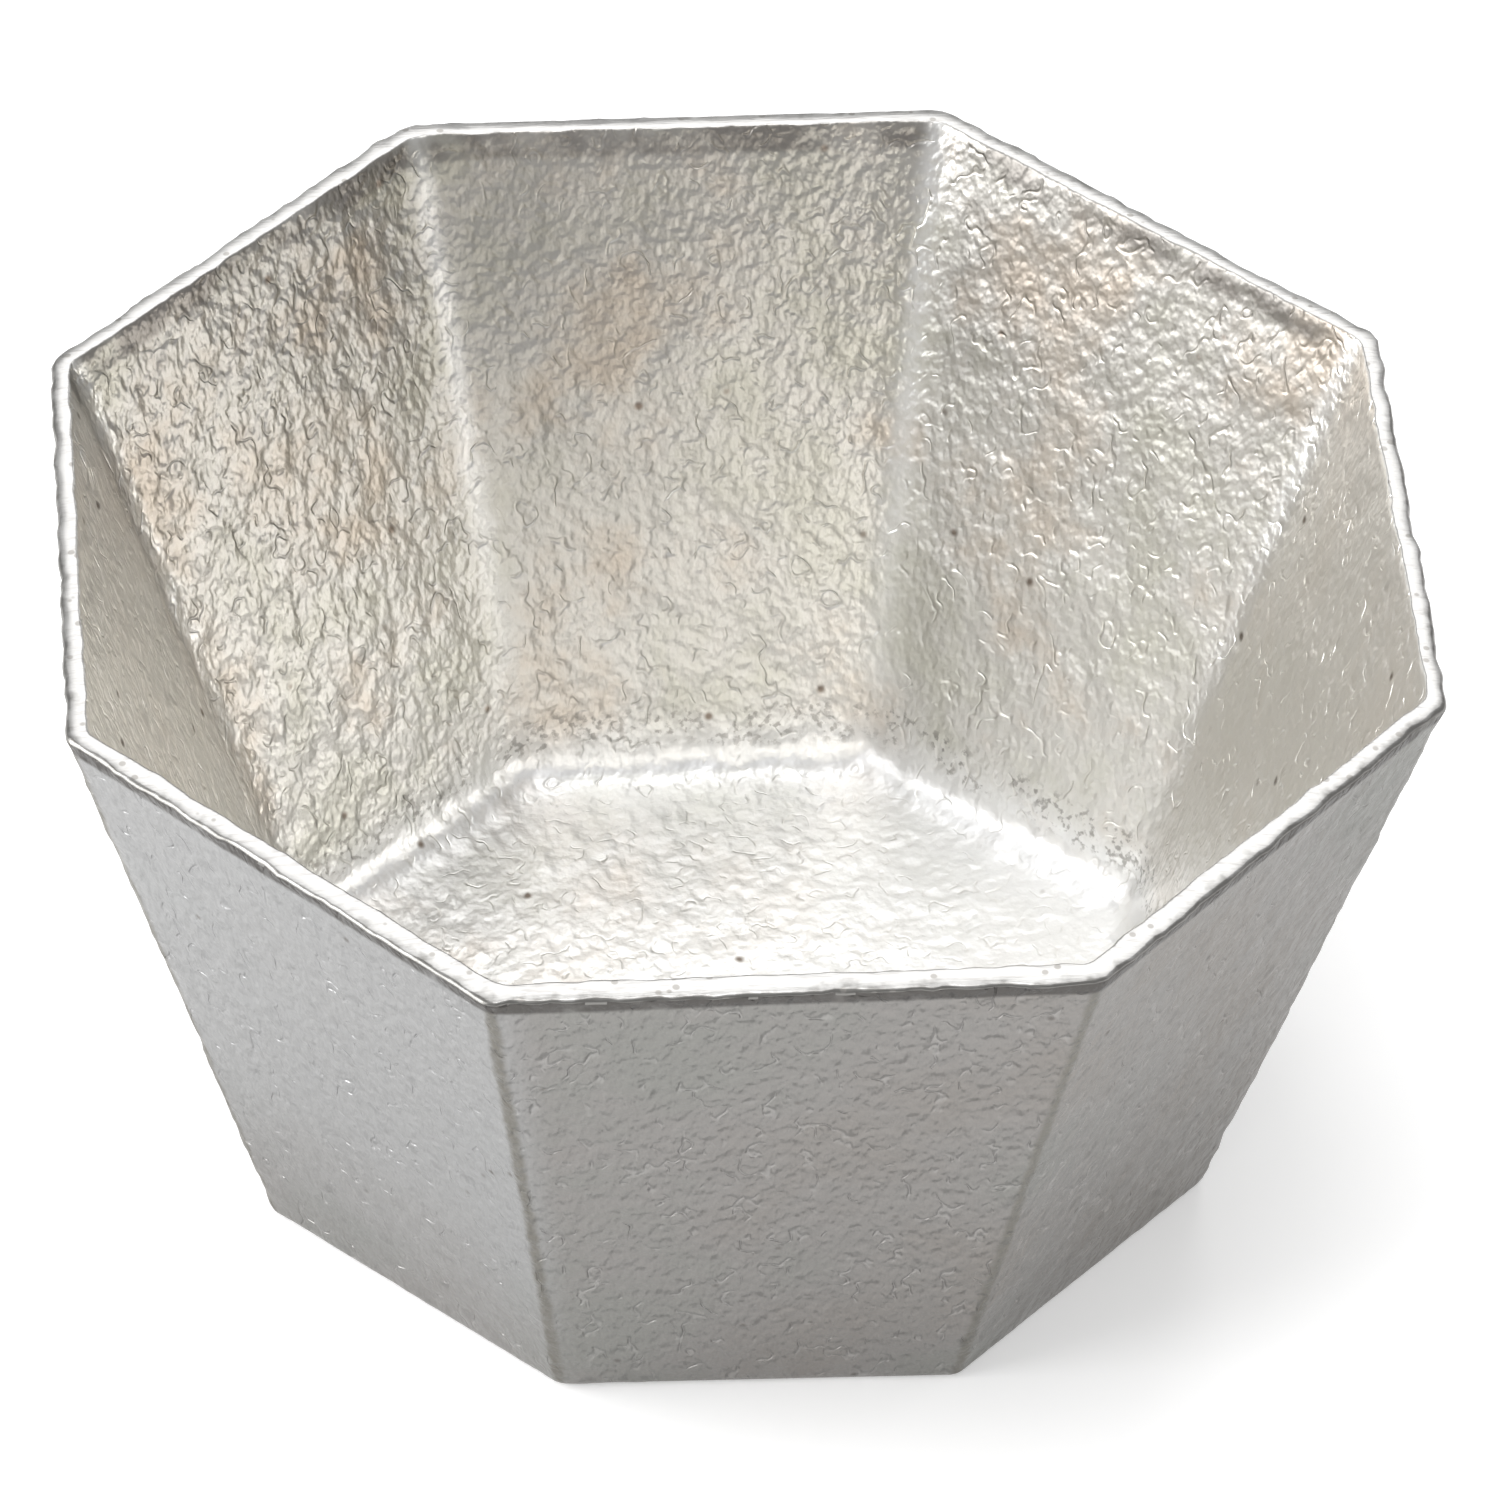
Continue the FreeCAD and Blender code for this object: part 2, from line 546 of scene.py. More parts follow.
# %% Helpers: patterns and groups
def scaled_place(tree, x, y, place, size):
    """Divides a place by a size, so that the pattern's bumps are about that size."""
    inverse = math_node(tree, "DIVIDE", x, y - 160, 1.0, size)
    node = tree.nodes.new("ShaderNodeVectorMath")
    node.operation = "SCALE"
    node.location = (x + 180, y)
    tree.links.new(place, node.inputs[0])
    tree.links.new(inverse, node.inputs["Scale"])
    return node.outputs[0]


def vector_node(tree, operation, x, y, first, second):
    """Multiplies or adds two vectors and returns the result."""
    node = tree.nodes.new("ShaderNodeVectorMath")
    node.operation = operation
    node.location = (x, y)
    for slot, value in enumerate((first, second)):
        if isinstance(value, tuple):
            node.inputs[slot].default_value = value
        else:
            tree.links.new(value, node.inputs[slot])
    return node.outputs[0]


def new_group(name, inputs, outputs):
    """Starts a node group with named inputs and outputs."""
    group = bpy.data.node_groups.new(name, "ShaderNodeTree")
    for socket, kind, value in inputs:
        made = group.interface.new_socket(socket, in_out="INPUT", socket_type="NodeSocket" + kind)
        if value is not None:
            made.default_value = value
    for socket, kind in outputs:
        group.interface.new_socket(socket, in_out="OUTPUT", socket_type="NodeSocket" + kind)
    start = group.nodes.new("NodeGroupInput")
    start.location = (-900, 0)
    end = group.nodes.new("NodeGroupOutput")
    end.location = (900, 0)
    return group, start.outputs, end.inputs


def noise(tree, x, y, place, detail=2.0, rough=0.5):
    """A cloudy value at a place that is already scaled."""
    node = tree.nodes.new("ShaderNodeTexNoise")
    node.location = (x, y)
    node.inputs["Scale"].default_value = 1.0
    node.inputs["Detail"].default_value = detail
    node.inputs["Roughness"].default_value = rough
    tree.links.new(place, node.inputs["Vector"])
    return node.outputs["Fac"]


# %% [markdown]
# ### Sand grain
# Each grain of sand left a small dimple, and where the sand cracked, the metal ran in and left a
# short raised or sunken fold. Soft noise makes the dimples. The folds follow the places where a
# wider noise passes its middle value, cut into short pieces by a second noise.

# %% Sand grain
MIDDLE = 0.5
OTHER_PLACE = (7.3, 2.1, 4.6)
grain, g_in, g_out = new_group(
    "sand_grain",
    (("Place", "Vector", None), ("Grain size", "Float", 0.4 * MM), ("Stretch", "Float", 1.0),
     ("Folds", "Float", 0.5)),
    (("Height", "Float"), ("Fold lines", "Float")))
stretch = add_node(grain, "CombineXYZ", -860, 200, X=1.0, Y=1.0)
grain.links.new(math_node(grain, "DIVIDE", -1040, 100, 1.0, g_in["Stretch"]), stretch.inputs["Z"])
drawn = vector_node(grain, "MULTIPLY", -680, 200, g_in["Place"], stretch.outputs[0])
near = scaled_place(grain, -500, 200, drawn, g_in["Grain size"])
dimples = noise(grain, -100, 300, near, detail=1.5, rough=0.5)
wide = vector_node(grain, "MULTIPLY", -280, 0, near, (0.45, 0.45, 0.45))
worms = noise(grain, -100, 0, wide, detail=1.0, rough=0.5)
from_middle = math_node(grain, "SUBTRACT", 40, 0, worms, MIDDLE)
off_middle = math_node(grain, "ABSOLUTE", 200, 0, from_middle, 0.0)
line = ramp(grain, 360, 0, off_middle, 0.05, 0.0)
moved_place = vector_node(grain, "ADD", -280, -300, wide, OTHER_PLACE)
cutter = noise(grain, -100, -300, moved_place, detail=1.0)
short = times(grain, 520, -100, line, ramp(grain, 200, -300, cutter, 0.5, 0.62))
drop = times(grain, 680, 60, short, g_in["Folds"])
grain.links.new(math_node(grain, "SUBTRACT", 840, 200, dimples, drop), g_out["Height"])
grain.links.new(short, g_out["Fold lines"])
print("effect", grain.name, "nodes", len(grain.nodes))

# %% [markdown]
# ### Tarnish
# Tin goes slightly tan where it was handled wet, and greenish grey elsewhere. One cloud of noise
# is enough for both: its high parts turn warm and its low parts turn green.

# %% Tarnish in patches
tarnish, t_in, t_out = new_group(
    "tarnish",
    (("Place", "Vector", None), ("Patch size", "Float", 9 * MM), ("Metal", "Color", (.8, .8, .8, 1)),
     ("Warm", "Color", (.7, .6, .5, 1)), ("Green", "Color", (.6, .62, .55, 1)),
     ("Amount", "Float", 0.5)),
    (("Color", "Color"),))
patch = scaled_place(tarnish, -700, 200, t_in["Place"], t_in["Patch size"])
cloud = noise(tarnish, -300, 300, patch, detail=5.0, rough=0.6)
high_parts = ramp(tarnish, -120, 300, cloud, 0.48, 0.68)
low_parts = ramp(tarnish, -120, 0, cloud, 0.52, 0.34)
warm_mask = times(tarnish, 60, 300, high_parts, t_in["Amount"])
green_mask = times(tarnish, 60, 0, low_parts, t_in["Amount"])
warmed = blend_colors(tarnish, 300, 200, warm_mask, t_in["Metal"], t_in["Warm"])
both_tints = blend_colors(tarnish, 520, 100, green_mask, warmed, t_in["Green"])
tarnish.links.new(both_tints, t_out["Color"])
print("effect", tarnish.name, "nodes", len(tarnish.nodes))

# %% [markdown]
# ### Gas pits and rub marks
# Gas trapped against the sand leaves a round pit here and there, so the pits are the middles of
# scattered cells. Grinding and rubbing leave fine lines one way, so the rub marks are noise drawn
# out along one direction.

# %% Gas pits
pits, p_in, p_out = new_group(
    "gas_pits",
    (("Place", "Vector", None), ("Spacing", "Float", 2 * MM), ("Pit width", "Float", 0.12)),
    (("Mask", "Float"),))
apart = scaled_place(pits, -700, 0, p_in["Place"], p_in["Spacing"])
cells = pits.nodes.new("ShaderNodeTexVoronoi")
cells.location = (-300, 0)
cells.inputs["Scale"].default_value = 1.0
pits.links.new(apart, cells.inputs["Vector"])
edge = math_node(pits, "SUBTRACT", 60, 0, cells.outputs["Distance"], p_in["Pit width"])
pits.links.new(ramp(pits, 300, 0, edge, 0.05, -0.02), p_out["Mask"])
print("effect", pits.name, "nodes", len(pits.nodes))

# %% Rub marks
ALONG_X = (0.12, 1.0, 1.0)
rubs, r_in, r_out = new_group(
    "rub_marks",
    (("Place", "Vector", None), ("Mark width", "Float", 0.15 * MM)),
    (("Height", "Float"), ("Mask", "Float")))
drawn = vector_node(rubs, "MULTIPLY", -700, 200, r_in["Place"], ALONG_X)
along = scaled_place(rubs, -500, 200, drawn, r_in["Mark width"])
marks = noise(rubs, -100, 200, along, detail=2.0, rough=0.6)
rubs.links.new(marks, r_out["Height"])
rubs.links.new(ramp(rubs, 300, 0, marks, 0.5, 0.75), r_out["Mask"])
print("effect", rubs.name, "nodes", len(rubs.nodes))

# %% [markdown]
# ## The four faces of the metal
# One casting shows four faces. Outside, the facing sand was fine and the tin looks like grey
# satin, its colour kept dark as painted shade. Inside, the core was coarse and the metal kept a
# warm, champagne cast. The rim was ground and is almost white, and the foot was rubbed on a flat
# stone. They could be one material with masks, but four short ones are easier to read and to change.


# %% Helpers: start a metal and use an effect
def use_group(tree, group, x, y, place, **values):
    """Puts a shared effect into a material and sets its named inputs."""
    node = tree.nodes.new("ShaderNodeGroup")
    node.node_tree = group
    node.location = (x, y)
    tree.links.new(place, node.inputs["Place"])
    for name, value in values.items():
        node.inputs[name.replace("_", " ")].default_value = value
    return node.outputs


def start_metal(name, roughness):
    """A metal material with its shader, and the place of each point on the object."""
    material = bpy.data.materials.new(name)
    material.use_nodes = True
    tree = material.node_tree
    shader = tree.nodes["Principled BSDF"]
    shader.location = (1100, 0)
    tree.nodes["Material Output"].location = (1400, 0)
    shader.inputs["Metallic"].default_value = 1.0
    shader.inputs["Roughness"].default_value = roughness
    place = add_node(tree, "TexCoord", -1100, 0).outputs["Object"]
    return material, tree, shader, place


def split_place(tree, x, y, place):
    """The three coordinates of a place."""
    node = add_node(tree, "SeparateXYZ", x, y)
    tree.links.new(place, node.inputs[0])
    return node.outputs["X"], node.outputs["Y"], node.outputs["Z"]


# %% Helpers: masks and bumps
def band(tree, x, y, value, low, high, blur):
    """A mask that is 1 between two values and fades out over a blur on both sides."""
    above = ramp(tree, x, y, value, low - blur, low)
    below = ramp(tree, x, y - 180, value, high + blur, high)
    return times(tree, x + 180, y, above, below)


def corner_mask(tree, x, y, place, reach, core):
    """A mask that is 1 on a corner line and fades out at a reach in millimetres, wavering a little."""
    node = add_node(tree, "Attribute", x, y)
    node.attribute_name = "corner_distance_mm"
    waver_place = scaled_place(tree, x - 400, y - 200, place, 0.9 * MM)
    waver = noise(tree, x, y - 200, waver_place, detail=2.0)
    shift = times(tree, x + 180, y - 200, waver, 0.8 * reach)
    far = math_node(tree, "ADD", x + 180, y, node.outputs["Fac"], shift)
    return ramp(tree, x + 360, y, far, reach * 1.4, core + reach * 0.4)


def add_bump(tree, x, y, height, distance, strength, under=None):
    """A bump of a given depth in metres, laid over another bump if there is one."""
    node = add_node(tree, "Bump", x, y, Distance=distance, Strength=strength)
    tree.links.new(height, node.inputs["Height"])
    if under is not None:
        tree.links.new(under, node.inputs["Normal"])
    return node.outputs["Normal"]


# %% [markdown]
# ### Outside skin
# Grey satin, with the grain drawn out a little up and down. Its colour is kept darker than the
# metal's own, as painted shade for the shaded table its sides reflect. The front-left side, which
# faces the light, is painted paler as painted light, the arrises are painted darker as painted
# shade, and a broken dark line of painted shade runs just under the lip.

# %% Outside skin: grain, tarnish and pits
outside_skin, tree, shader, place = start_metal("cast_skin_outside", 0.4)
prints = use_group(tree, grain, -600, 300, place, Grain_size=0.5 * MM, Stretch=1.6, Folds=0.35)
dust = use_group(tree, grain, -600, 0, place, Grain_size=0.22 * MM, Folds=0.0)
# Painted shade: the metal colours here are darker than tin's own, standing for the shaded table the
# outer sides reflect.
stain = use_group(
    tree, tarnish, -600, -300, place, Patch_size=12 * MM, Metal=(.268, .258, .248, 1),
    Warm=(.258, .242, .226, 1), Green=(.25, .25, .235, 1), Amount=0.8)
holes = use_group(tree, pits, -600, -650, place, Spacing=3.0 * MM, Pit_width=0.035)
fold_mask = times(tree, -300, 200, prints["Fold lines"], 0.22)
lined = blend_colors(tree, -100, -300, fold_mask, stain["Color"], (.50, .49, .48))
coarse = add_bump(tree, 400, -500, prints["Height"], 0.3 * MM, 1.0)
fine = add_bump(tree, 700, -500, dust["Height"], 0.03 * MM, 0.6, coarse)
tree.links.new(fine, shader.inputs["Normal"])
print("bumps on", outside_skin.name)

# %% Outside skin: painted light on the left side, painted shade on the arrises and under the lip
across, behind_middle, rise = split_place(tree, -900, -1200, place)
# Painted light: the upper part of the front-left side is painted paler, where it faces the light.
lean = math_node(tree, "DIVIDE", -700, -1600, across, behind_middle)
past_front = ramp(tree, -500, -1600, lean, 0.36, 0.46)
to_the_left = ramp(tree, -500, -1750, across, -6 * MM, -9 * MM)
before_left = ramp(tree, -500, -1900, lean, 2.7, 2.2)
upper_part = ramp(tree, -500, -2050, rise, -3 * MM, 14 * MM)
left_light_mask = times(tree, -300, -1600, past_front, to_the_left)
left_light_mask = times(tree, -250, -1700, left_light_mask, before_left)
left_light_mask = times(tree, -200, -1800, left_light_mask, upper_part)
left_light_mask = times(tree, -150, -1600, left_light_mask, 0.8)
left_lit_color = blend_colors(tree, 0, -450, left_light_mask, lined, (.345, .348, .35))
# Painted shade: a darker line along each arris.
arris = corner_mask(tree, -600, -900, place, 0.48, 0.1)
arris_shaded = blend_colors(tree, 50, -300, arris, left_lit_color, (.195, .187, .168))
# Painted shade: a broken dark line just under the lip.
under_lip = ramp(tree, -600, -1200, rise, cup_height - 1.05 * MM, cup_height - 0.75 * MM)
lip_shade_place = scaled_place(tree, -1100, -1400, place, 3.0 * MM)
broken = ramp(tree, -600, -1400, noise(tree, -800, -1400, lip_shade_place, detail=4.0), 0.27, 0.47)
lip_shade = times(tree, -400, -1200, under_lip, broken)
lip_shaded = blend_colors(tree, 120, -300, lip_shade, arris_shaded, (.10, .095, .09))
pitted = blend_colors(tree, 250, -300, holes["Mask"], lip_shaded, (.16, .15, .14))
tree.links.new(pitted, shader.inputs["Base Color"])
print("material", outside_skin.name, "nodes", len(tree.nodes))

# %% [markdown]
# ### Inside skin
# Brighter than the outside, whose colour is kept dark as painted shade, and warmer. The walls at
# the back are darkened toward the rim as painted shade, while the side walls, the lower walls, the
# cove, the floor and the inner corners are painted lighter as painted light, less toward the back
# left of the floor. A streaky band of painted shade sits under the rim at the back, and grime sits
# in a speckled line above the cove. Each of these lies at a height or in a direction, so the masks
# come from the place of each point.


# %% Helper: masks for the walls
def wall_masks(tree, x, y, place):
    """Masks for the back walls, which get painted shade, the wall at the back right, and the two side
    walls, which get painted light.
    """
    across, depth_back, climb = split_place(tree, x, y, place)
    lean = math_node(tree, "DIVIDE", x + 180, y, across, depth_back)
    behind = ramp(tree, x + 180, y - 180, depth_back, 6 * MM, 9 * MM)
    past_back = ramp(tree, x + 360, y, lean, 0.36, 0.50)
    before_side = ramp(tree, x + 360, y - 180, lean, 2.6, 2.2)
    back_right = times(tree, x + 540, y, past_back, before_side)
    near_rim = ramp(tree, x + 180, y - 360, climb, 14 * MM, 27 * MM)
    near_rim = times(tree, x + 360, y - 360, near_rim, 0.5)
    share = math_node(tree, "ADD", x + 540, y - 360, 0.4, near_rim)
    right_share = times(tree, x + 720, y - 180, back_right, share)
    not_right = ramp(tree, x + 540, y - 180, lean, 0.50, 0.36)
    back_shade = math_node(tree, "MAXIMUM", x + 720, y, not_right, right_share)
    not_left = ramp(tree, x + 540, y - 540, lean, -2.7, -2.3)
    high = ramp(tree, x + 540, y - 720, climb, -16 * MM, 30 * MM)
    for step, mask in enumerate((behind, not_left, high)):
        back_shade = times(tree, x + 900 + 180 * step, y, back_shade, mask)
    size_of_lean = math_node(tree, "ABSOLUTE", x + 360, y - 900, lean, 0.0)
    side = ramp(tree, x + 540, y - 900, size_of_lean, 2.2, 2.6)
    back_right = times(tree, x + 900, y - 180, back_right, behind)
    return back_shade, back_right, side


# %% Inside skin: grain, tarnish and pits
inside_skin, tree, shader, place = start_metal("cast_skin_inside", 0.34)
prints = use_group(tree, grain, -600, 300, place, Grain_size=0.5 * MM, Stretch=1.3, Folds=0.3)
stain = use_group(
    tree, tarnish, -600, -300, place, Patch_size=8 * MM, Metal=(.82, .81, .78, 1),
    Warm=(.78, .707, .625, 1), Green=(.75, .745, .68, 1), Amount=1.0)
holes = use_group(tree, pits, -600, -650, place, Spacing=3.5 * MM, Pit_width=0.04)
across, depth_back, rise = split_place(tree, -900, -3300, place)
back_wall_shade, back_right_wall, side_wall = wall_masks(tree, -2200, -1500, place)
print("masks for", inside_skin.name)

# %% Inside skin: painted shade on the back walls, painted light on the side walls, floor and creases
# Painted shade: the walls at the back are darkened toward the rim with a darker copy of the metal.
back_shade = times(tree, -450, -1500, back_wall_shade, 0.95)
darker = vector_node(tree, "MULTIPLY", -400, -400, stain["Color"], (.52, .51, .50))
back_shaded = blend_colors(tree, -250, -300, back_shade, stain["Color"], darker)
# Painted light: the two side walls are painted lighter.
side_light_share = times(tree, -350, -1050, side_wall, 0.8)
sides_lit = blend_colors(tree, -200, -300, side_light_share, back_shaded, (.95, .93, .895))
# Painted light: the lower walls, the cove and the floor are painted lighter, less toward the back left
# of the floor.
low_down = ramp(tree, -600, -900, rise, FLOOR_HEIGHT + 3.5 * MM, FLOOR_HEIGHT + 0.5 * MM)
low_down = times(tree, -450, -900, low_down, 0.85)
on_floor = ramp(tree, 0, 300, rise, FLOOR_HEIGHT + 0.6 * MM, FLOOR_HEIGHT + 0.3 * MM)
toward_front_right = math_node(tree, "SUBTRACT", -750, -3300, across, depth_back)
less_floor_light = ramp(tree, -600, -3300, toward_front_right, 2 * MM, -16 * MM)
less_floor_light = times(tree, -520, -3400, less_floor_light, 0.5)
less_floor_light = times(tree, -450, -3300, on_floor, less_floor_light)
floor_light_share = math_node(tree, "SUBTRACT", -450, -3400, 1.0, less_floor_light)
floor_light = times(tree, -380, -1000, low_down, floor_light_share)
# Painted highlight: a light band along the inner corners, stronger higher up; it joins the painted
# floor light.
crease = corner_mask(tree, -600, -1200, place, 1.0, 0.05)
crease_highlight_share = ramp(tree, -750, -1300, rise, FLOOR_HEIGHT + 3 * MM, FLOOR_HEIGHT + 16 * MM)
crease_highlight_share = times(tree, -600, -1300, crease_highlight_share, 0.4)
crease_highlight_share = math_node(tree, "ADD", -500, -1300, 0.05, crease_highlight_share)
crease_highlight = times(tree, -450, -1200, crease, crease_highlight_share)
highlight_mask = math_node(tree, "MAXIMUM", -300, -1000, floor_light, crease_highlight)
highlighted = blend_colors(tree, -100, -300, highlight_mask, sides_lit, (.90, .905, .91))
fold_mask = times(tree, -300, 200, prints["Fold lines"], 0.16)
lined = blend_colors(tree, 50, -300, fold_mask, highlighted, (.58, .545, .48))
print("clean metal of", inside_skin.name)

# %% Inside skin: painted shade under the rim, and grime above the cove
fleck_place = scaled_place(tree, -1200, -1900, place, 0.36 * MM)
flecks = noise(tree, -900, -1900, fleck_place, detail=3.0)
streak_place = scaled_place(tree, -1200, -2100, place, 2.5 * MM)
streaks = noise(tree, -900, -2100, streak_place, detail=4.0)
# Painted shade: a streaky darker band under the rim, on the walls at the back.
under_rim = band(
    tree, -600, -1900, rise, cup_height - 1.0 * MM, cup_height - 0.15 * MM, 0.4 * MM)
off_creases = math_node(tree, "SUBTRACT", -450, -1850, 1.0, crease)
under_rim = times(tree, -400, -1850, under_rim, off_creases)
back_shade_streaks = times(
    tree, -450, -2000, back_wall_shade, ramp(tree, -600, -2100, streaks, 0.3, 0.6))
rim_shade = times(tree, -300, -1900, under_rim, back_shade_streaks)
above_cove = band(
    tree, -600, -2700, rise, FLOOR_HEIGHT + 1.7 * MM, FLOOR_HEIGHT + 2.9 * MM, 0.7 * MM)
speckles = ramp(tree, -600, -2900, flecks, 0.5, 0.64)
patches = ramp(tree, -600, -3100, streaks, 0.36, 0.54)
patchy = times(tree, -400, -2900, speckles, patches)
patchy = times(tree, -400, -2800, patchy, 0.7)
cove_dirt = times(tree, -300, -2700, above_cove, patchy)
# The darker colour below carries both the painted shade under the rim and the grime above the cove.
dirt_and_shade = math_node(tree, "MAXIMUM", -100, -2300, rim_shade, cove_dirt)
dirt_and_shade = times(tree, 50, -2300, dirt_and_shade, 0.9)
soiled_and_shaded = blend_colors(tree, 120, -300, dirt_and_shade, lined, (.23, .215, .20))
pitted = blend_colors(tree, 250, -300, holes["Mask"], soiled_and_shaded, (.22, .18, .15))
tree.links.new(pitted, shader.inputs["Base Color"])
print("color of", inside_skin.name)

# %% Inside skin: roughness and bump
ROUGHNESS_INSIDE = 0.34
matt_wall = times(tree, 50, 300, back_right_wall, 0.12)
matt_floor = times(tree, 50, 450, on_floor, 0.09)
matt = math_node(tree, "MAXIMUM", 100, 300, matt_wall, matt_floor)
roughness = math_node(tree, "ADD", 300, 300, matt, ROUGHNESS_INSIDE)
tree.links.new(roughness, shader.inputs["Roughness"])
smoothed = times(tree, -50, -600, low_down, 0.55)
kept_grain = math_node(tree, "SUBTRACT", 100, -600, 1.0, smoothed)
grain_height = times(tree, 250, -600, prints["Height"], kept_grain)
tree.links.new(add_bump(tree, 400, -500, grain_height, 0.18 * MM, 0.7), shader.inputs["Normal"])
print("material", inside_skin.name, "nodes", len(tree.nodes))

# %% [markdown]
# ### Ground rim and rubbed foot
# A file and a stone took the skin off both and left fine marks one way. The rim kept a few
# pits, and its lower, outer edge is painted darker and ragged: partly the skin left where the
# grinding stopped, partly painted shade for the darker reflection of the outer bevel. The foot is
# seldom seen, and its marks are coarser.

# %% Ground rim
ground_rim, tree, shader, place = start_metal("ground_rim", 0.3)
lines = use_group(tree, rubs, -600, 300, place, Mark_width=0.14 * MM)
holes = use_group(tree, pits, -600, -300, place, Spacing=0.9 * MM, Pit_width=0.16)
scratched = blend_colors(tree, -100, 0, lines["Mask"], (.47, .465, .455), (.38, .37, .36))
across, depth_back, rise = split_place(tree, -900, -600, place)
# The lower, outer edge of the rim is painted darker and ragged: partly the skin left where the
# grinding stopped, partly painted shade for the darker reflection of the outer bevel.
ragged_place = scaled_place(tree, -1100, -800, place, 0.8 * MM)
ragged = noise(tree, -700, -800, ragged_place, detail=3.0)
ragged = times(tree, -600, -800, ragged, 0.25 * MM)
edge_height = math_node(tree, "ADD", -500, -700, rise, ragged)
below = ramp(tree, -300, -700, edge_height, cup_height + 0.06 * MM, cup_height - 0.04 * MM)
ground = blend_colors(tree, 150, 0, below, scratched, (.22, .215, .205))
pitted = blend_colors(tree, 350, 0, holes["Mask"], ground, (.30, .29, .275))
tree.links.new(pitted, shader.inputs["Base Color"])
tree.links.new(add_bump(tree, 400, -500, lines["Height"], 0.03 * MM, 0.5), shader.inputs["Normal"])
print("material", ground_rim.name, "nodes", len(tree.nodes))

# %% Rubbed foot
rubbed_foot, tree, shader, place = start_metal("rubbed_foot", 0.38)
lines = use_group(tree, rubs, -600, 300, place, Mark_width=0.3 * MM)
stain = use_group(
    tree, tarnish, -600, -100, place, Patch_size=10 * MM, Metal=(.66, .655, .645, 1),
    Warm=(.60, .56, .52, 1), Green=(.58, .59, .56, 1), Amount=0.8)
marked = blend_colors(tree, -100, 0, lines["Mask"], stain["Color"], (.75, .745, .735))
tree.links.new(marked, shader.inputs["Base Color"])
tree.links.new(add_bump(tree, 400, -500, lines["Height"], 0.04 * MM, 0.5), shader.inputs["Normal"])
print("material", rubbed_foot.name, "nodes", len(tree.nodes))

# %% [markdown]
# ### Which metal goes where
# A face knows where it lies and which way it looks, and that is enough to tell the four faces of the
# metal apart.


# %% Give each face its metal
OUTSIDE_METAL, INSIDE_METAL, RIM_METAL, FOOT_METAL = range(4)


def metal_of(face):
    """The number of the metal that a face of the cup shows."""
    inward = face.center.xy.dot(face.normal.xy) < 0
    steepest = 0.9 if inward else 0.15
    if face.center.z > cup_height - 0.5 * MM and face.normal.z > steepest:
        return RIM_METAL
    if face.center.z < 0.05 * MM and face.normal.z < -0.9:
        return FOOT_METAL
    return INSIDE_METAL if inward or face.normal.z > 0.5 else OUTSIDE_METAL


for material in (outside_skin, inside_skin, ground_rim, rubbed_foot):
    cup.data.materials.append(material)
for face in cup.data.polygons:
    face.material_index = metal_of(face)
for number, material in enumerate(cup.data.materials):
    print(material.name, sum(f.material_index == number for f in cup.data.polygons), "faces")

# %% [markdown]
# ## Tie the piece to the engineering model
# The cup is one rigid piece, so it rides on the only body there is, and it takes the place of the
# plain solid.

# %% Tie the piece to the engineering model
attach(cup, "root")
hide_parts(NODE)

# %% [markdown]
# ## Camera
# The cup is looked at from above the front edge with a long lens, which keeps the far side nearly
# as large as the near one, and the camera is tipped very slightly. Three directions at right angles
# place it: right, up, and back toward the camera.

# %% Camera
AZIMUTH = math.radians(-6.4)
ELEVATION = math.radians(41.0)
ROLL = math.radians(2.3)
DISTANCE = 475 * MM
LENS = 255
SENSOR = 36
NEAREST = 10 * MM
AIM_RIGHT = 1.0 * MM
AIM_UP = 2.4 * MM

back = Vector((
    math.sin(AZIMUTH) * math.cos(ELEVATION), -math.cos(AZIMUTH) * math.cos(ELEVATION),
    math.sin(ELEVATION)))
level = Vector((math.cos(AZIMUTH), math.sin(AZIMUTH), 0))
upward = back.cross(level)
right = level * math.cos(ROLL) + upward * math.sin(ROLL)
up = upward * math.cos(ROLL) - level * math.sin(ROLL)
middle = Vector((0, 0, cup_height / 2))
place = middle + back * DISTANCE + right * AIM_RIGHT + up * AIM_UP
bpy.ops.object.camera_add()
camera = bpy.context.object
camera.name = "studio_camera"
camera.data.lens = LENS
camera.data.sensor_width = SENSOR
camera.data.clip_start = NEAREST
axes = Matrix((right, up, back)).transposed()
camera.matrix_world = Matrix.Translation(place) @ axes.to_4x4()
bpy.context.scene.camera = camera
print("camera", [round(value, 3) for value in place])

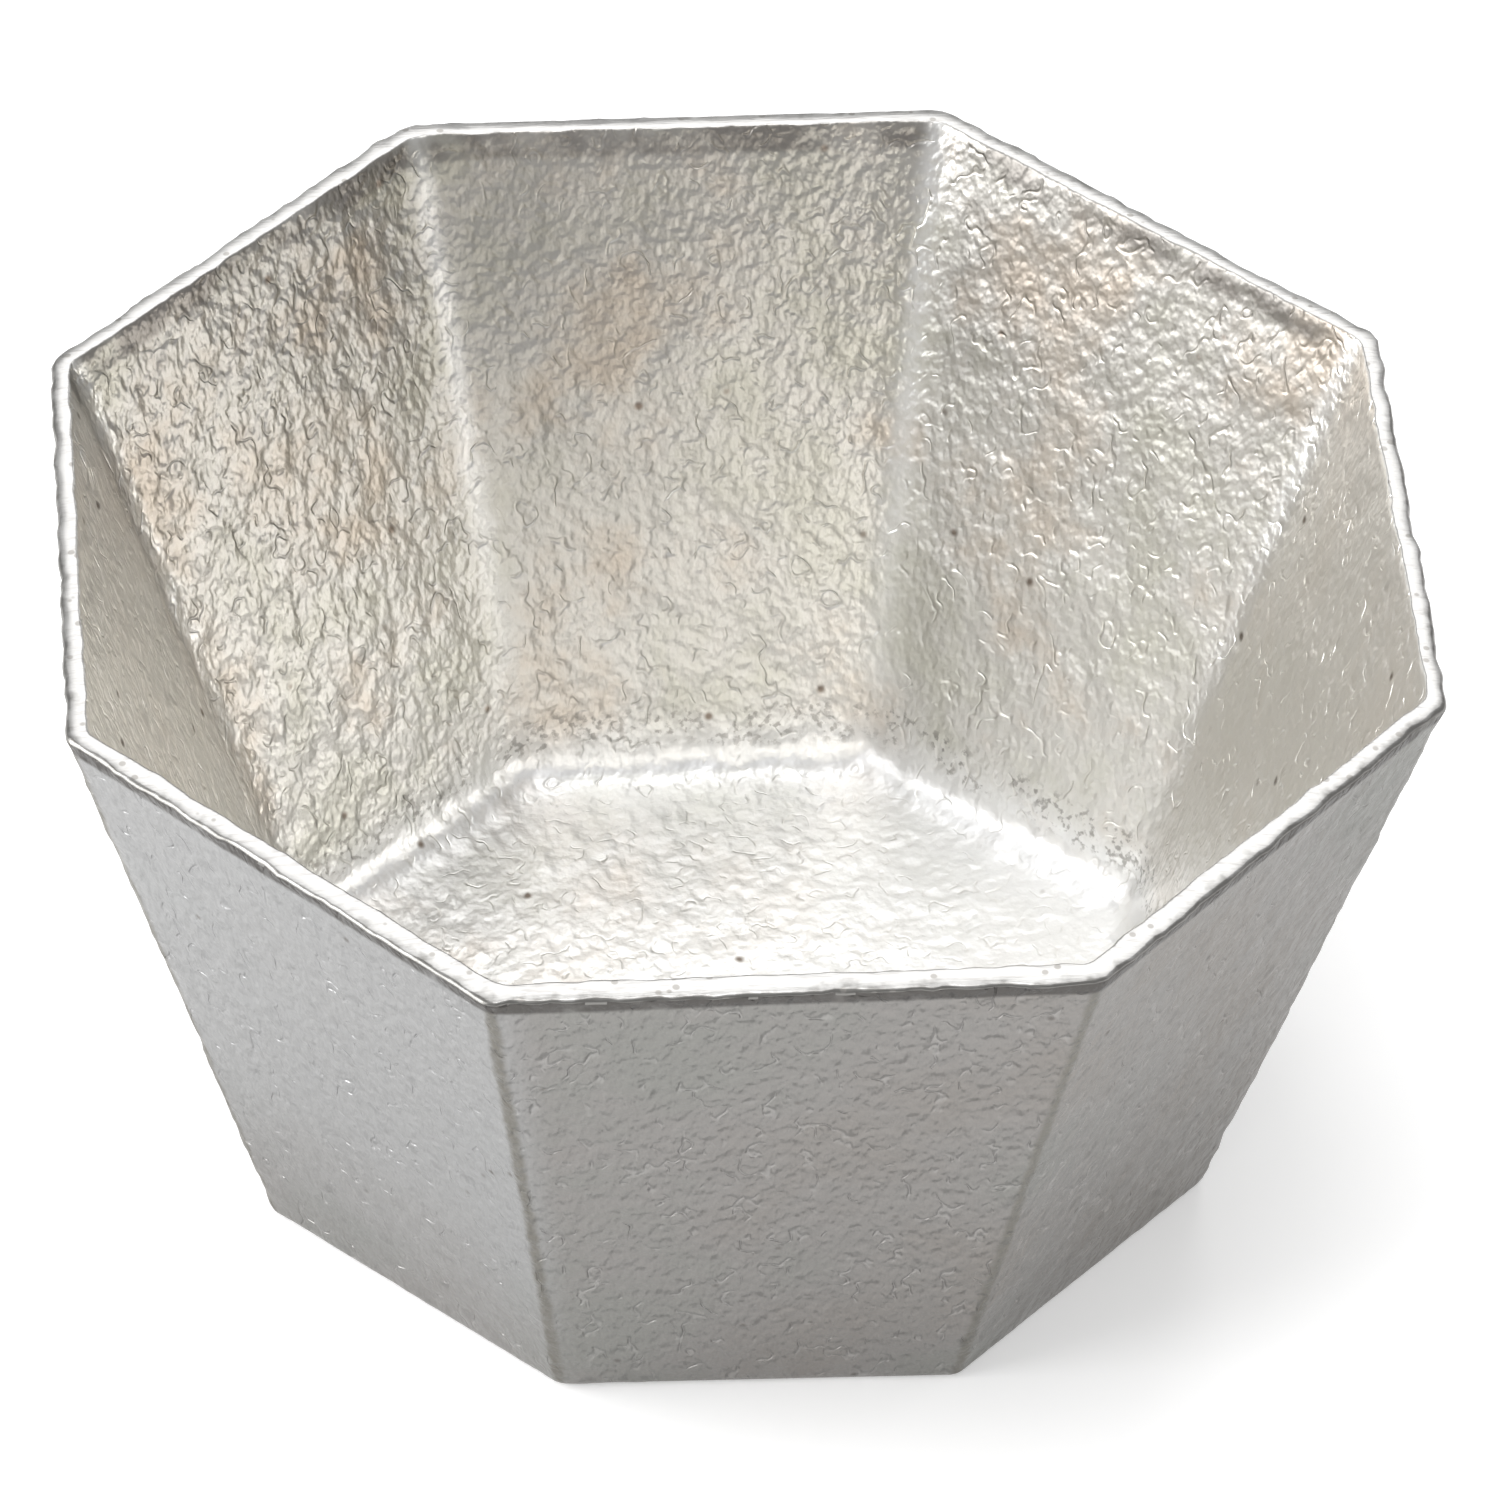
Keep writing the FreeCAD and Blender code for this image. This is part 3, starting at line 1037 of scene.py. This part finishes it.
# %% [markdown]
# ## Table and studio
# Polished or satin, metal shows what stands around it, so the studio is what gives the cup its
# tones. The table is white paper that gives off a little light, as a sheet lit from all sides
# seems to. The room is a plain pale grey.

# %% Room and table
SKY_STRENGTH = 0.6
TABLE_SIZE = 4
PAPER_GLOW = 0.34
bpy.context.scene.view_settings.view_transform = "Standard"
world = bpy.data.worlds.new("studio")
bpy.context.scene.world = world
world.use_nodes = True
sky = world.node_tree.nodes["Background"]
sky.inputs["Color"].default_value = (1, 1, 1, 1)
sky.inputs["Strength"].default_value = SKY_STRENGTH
bpy.ops.mesh.primitive_plane_add(size=TABLE_SIZE)
table = bpy.context.object
table.name = "studio_table"
paper, tree, shader, place = start_metal("white_paper", 0.9)
shader.inputs["Metallic"].default_value = 0.0
shader.inputs["Base Color"].default_value = (.86, .86, .86, 1)
shader.inputs["Specular IOR Level"].default_value = 0.0
shader.inputs["Emission Color"].default_value = (1, 1, 1, 1)
shader.inputs["Emission Strength"].default_value = PAPER_GLOW
table.data.materials.append(paper)
print("table", TABLE_SIZE, "m wide")

# %% [markdown]
# ## Four soft lights
# A broad light behind and above whitens the rim and the floor, and a small one straight above draws
# the line of the cove. A weak one in front lifts the front, and a large one on the left models the
# left sides. One helper makes all four, because they differ only in place, size and glow.


# %% Soft lights
def softbox(name, azimuth, elevation, distance, size, glow):
    """A square soft light aimed at the cup: its glow is how bright its face looks."""
    angle = math.radians(azimuth)
    climb = math.radians(elevation)
    way = Vector((
        math.sin(angle) * math.cos(climb), -math.cos(angle) * math.cos(climb), math.sin(climb)))
    bpy.ops.object.light_add(type="AREA", location=middle + way * distance)
    light = bpy.context.object
    light.name = name
    light.data.size = size
    light.data.energy = glow * math.pi * size * size
    light.rotation_euler = way.to_track_quat("Z", "Y").to_euler()
    return light


lights = [
    softbox("back_softbox", 172, 50, 0.7, 0.55, 2.0),
    softbox("top_softbox", 0, 86, 0.7, 0.25, 4.5),
    softbox("front_softbox", -14, 50, 0.9, 0.4, 0.6),
    softbox("left_softbox", -85, 20, 0.9, 0.85, 5.2)]
print("lights", [light.name for light in lights])
